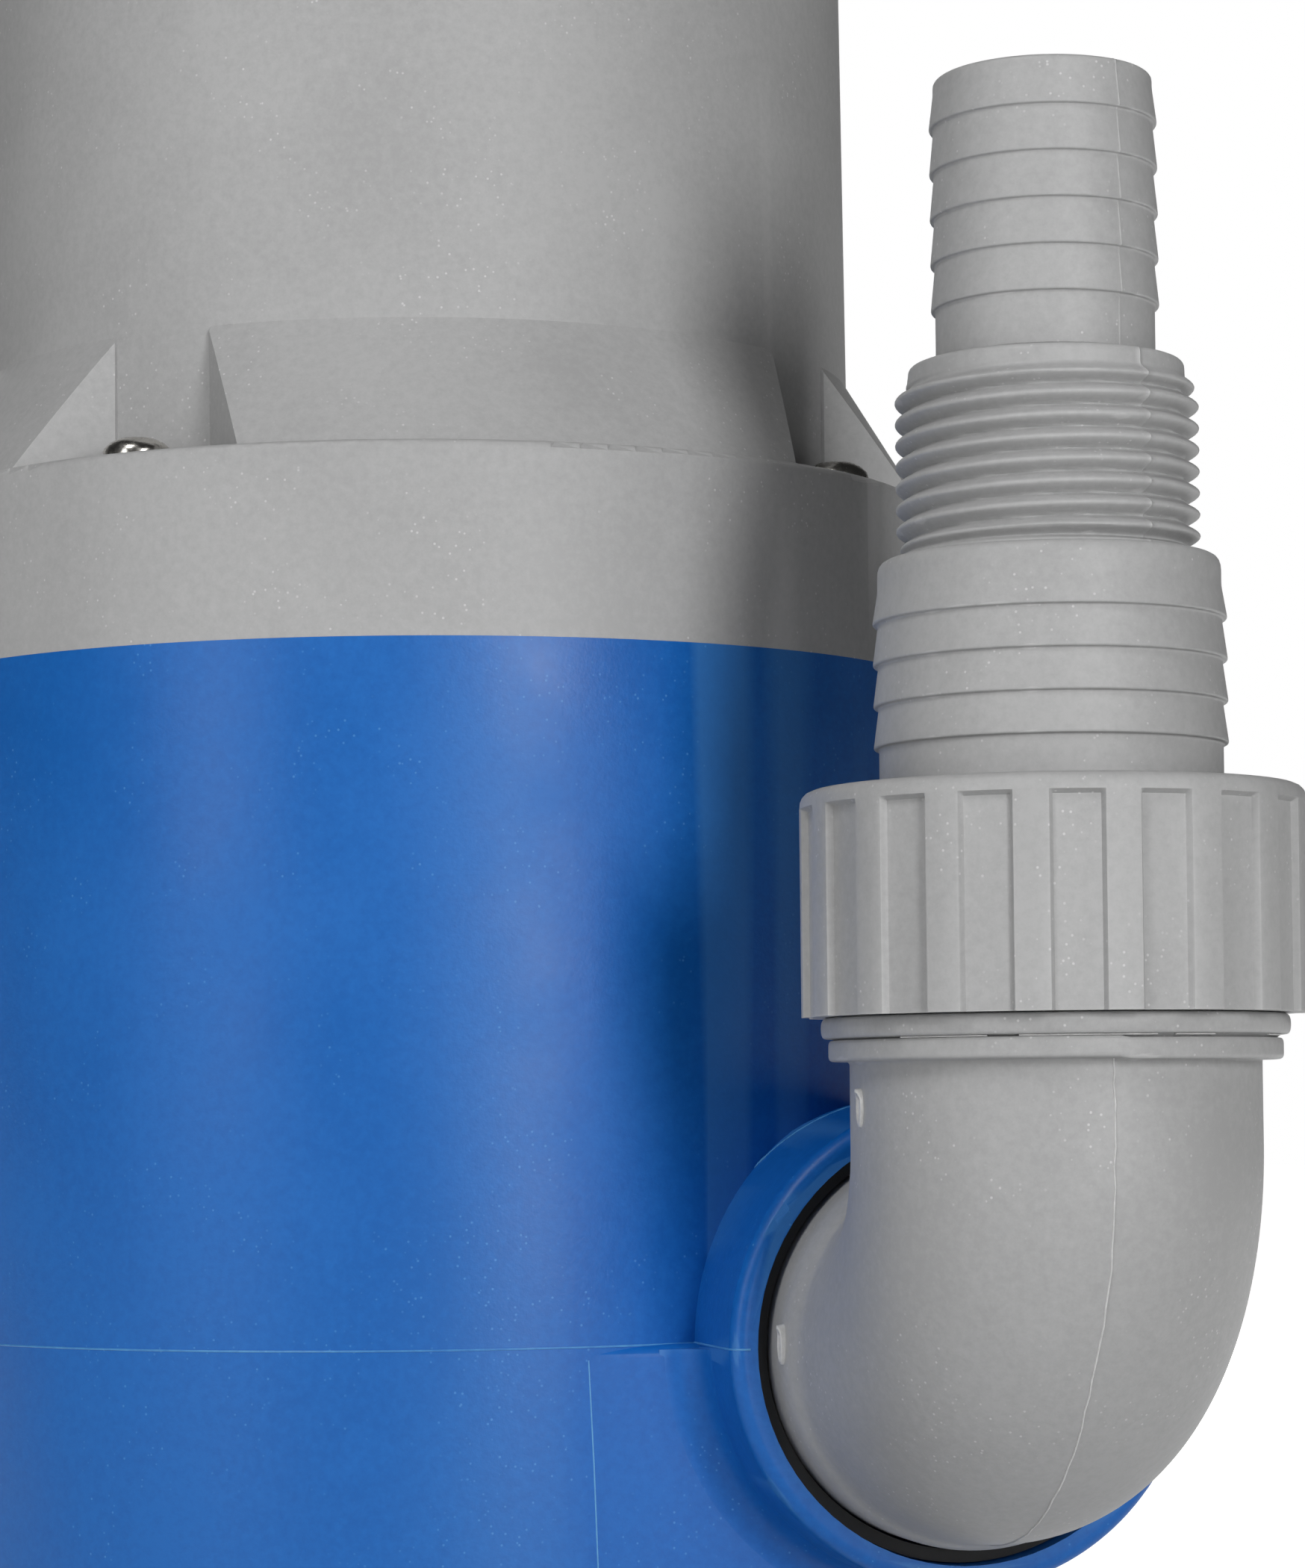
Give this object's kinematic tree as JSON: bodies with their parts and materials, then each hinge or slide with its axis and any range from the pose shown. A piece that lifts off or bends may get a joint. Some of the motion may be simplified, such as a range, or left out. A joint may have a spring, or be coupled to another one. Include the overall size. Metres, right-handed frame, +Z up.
{
  "type": "submersible sump pump",
  "caption": "Submersible sump pump: slotted suction foot, sealed motor, carrying handle and a side outlet with elbow, union nut and stepped hose adapter.",
  "frame": {"origin": "on the pump's axis, in the face of the suction foot that it stands on", "axes": "+Z up along the pump's axis, -Y the way the outlet boss points, +X towards the side where the riser and the hose adapter stand"},
  "size_m": [0.1461, 0.2076, 0.312],
  "materials": {
    "blue_casing": "smooth moulded plastic with a soft shine",
    "grey_moulding": "satin moulded plastic with a fine grain",
    "charcoal_moulding": "satin moulded plastic",
    "impeller_plastic": "glass-filled plastic",
    "black_rubber": "matt moulded rubber",
    "stainless_steel": "bright turned stainless steel",
    "bearing_steel": "ground bearing steel",
    "seal_face": "lapped ceramic",
    "core_steel": "stacked electrical steel",
    "cast_aluminium": "die-cast aluminium",
    "copper_winding": "lacquered copper wire",
    "capacitor_case": "plastic case"
  },
  "bodies": {
    "housing": {"pump_casing": "blue_casing", "flange_seal": "black_rubber", "motor_cover": "grey_moulding", "flange_screws": "stainless_steel", "carry_handle": "charcoal_moulding", "handle_screws": "stainless_steel", "mains_gland": "charcoal_moulding", "mains_gland_sleeve": "black_rubber", "mains_gland_nut": "charcoal_moulding", "mains_locknut": "charcoal_moulding", "float_gland": "charcoal_moulding", "float_gland_sleeve": "black_rubber", "float_gland_nut": "charcoal_moulding", "float_locknut": "charcoal_moulding", "suction_foot": "charcoal_moulding", "foot_screws": "stainless_steel", "suction_cover": "charcoal_moulding", "lower_bearing_shield": "cast_aluminium", "shield_seal": "black_rubber", "shaft_seal_seat": "seal_face", "shaft_lip_seal": "black_rubber", "lower_bearing_outer_race": "bearing_steel", "upper_bearing_outer_race": "bearing_steel", "stator_core": "core_steel", "stator_winding": "copper_winding", "motor_can": "stainless_steel", "upper_bearing_shield": "cast_aluminium", "run_capacitor": "capacitor_case", "capacitor_strap": "charcoal_moulding", "thermal_cutout": "capacitor_case", "outlet_gasket": "black_rubber"},
    "rotor": {"motor_shaft": "stainless_steel", "impeller": "impeller_plastic", "impeller_washer": "stainless_steel", "impeller_nut": "stainless_steel", "rotor_core": "core_steel", "rotor_lower_end_ring": "cast_aluminium", "rotor_upper_end_ring": "cast_aluminium", "shaft_seal_ring": "seal_face", "lower_bearing_inner_race": "bearing_steel", "upper_bearing_inner_race": "bearing_steel"},
    "ball_sets": {"lower_bearing_balls": "bearing_steel", "upper_bearing_balls": "bearing_steel"},
    "elbow": {"outlet_elbow": "grey_moulding", "union_gasket": "black_rubber"},
    "union_nut": {"union_nut": "grey_moulding"},
    "hose_adapter": {"hose_adapter": "grey_moulding"}
  },
  "joints": [
    {"name": "rotor_spin", "type": "hinge", "parent": "housing", "child": "rotor", "pos_m": [0, 0, 0.15], "axis": [0, 0, 1], "continuous": true},
    {"name": "ball_orbit", "type": "hinge", "parent": "housing", "child": "ball_sets", "pos_m": [0, 0, 0.15], "axis": [0, 0, 1], "continuous": true},
    {"name": "elbow_turn", "type": "hinge", "parent": "housing", "child": "elbow", "pos_m": [0.0465, -0.07, 0.06], "axis": [0, -1, 0], "range_deg": [-90, 90]},
    {"name": "nut_turn", "type": "hinge", "parent": "elbow", "child": "union_nut", "pos_m": [0.0465, -0.109, 0.11], "axis": [0, 0, 1], "continuous": true},
    {"name": "adapter_turn", "type": "hinge", "parent": "elbow", "child": "hose_adapter", "pos_m": [0.0465, -0.109, 0.15], "axis": [0, 0, 1], "continuous": true}
  ],
  "couplings": [
    {"joint": "ball_orbit", "follows": "rotor_spin", "ratio": 0.3727}
  ]
}
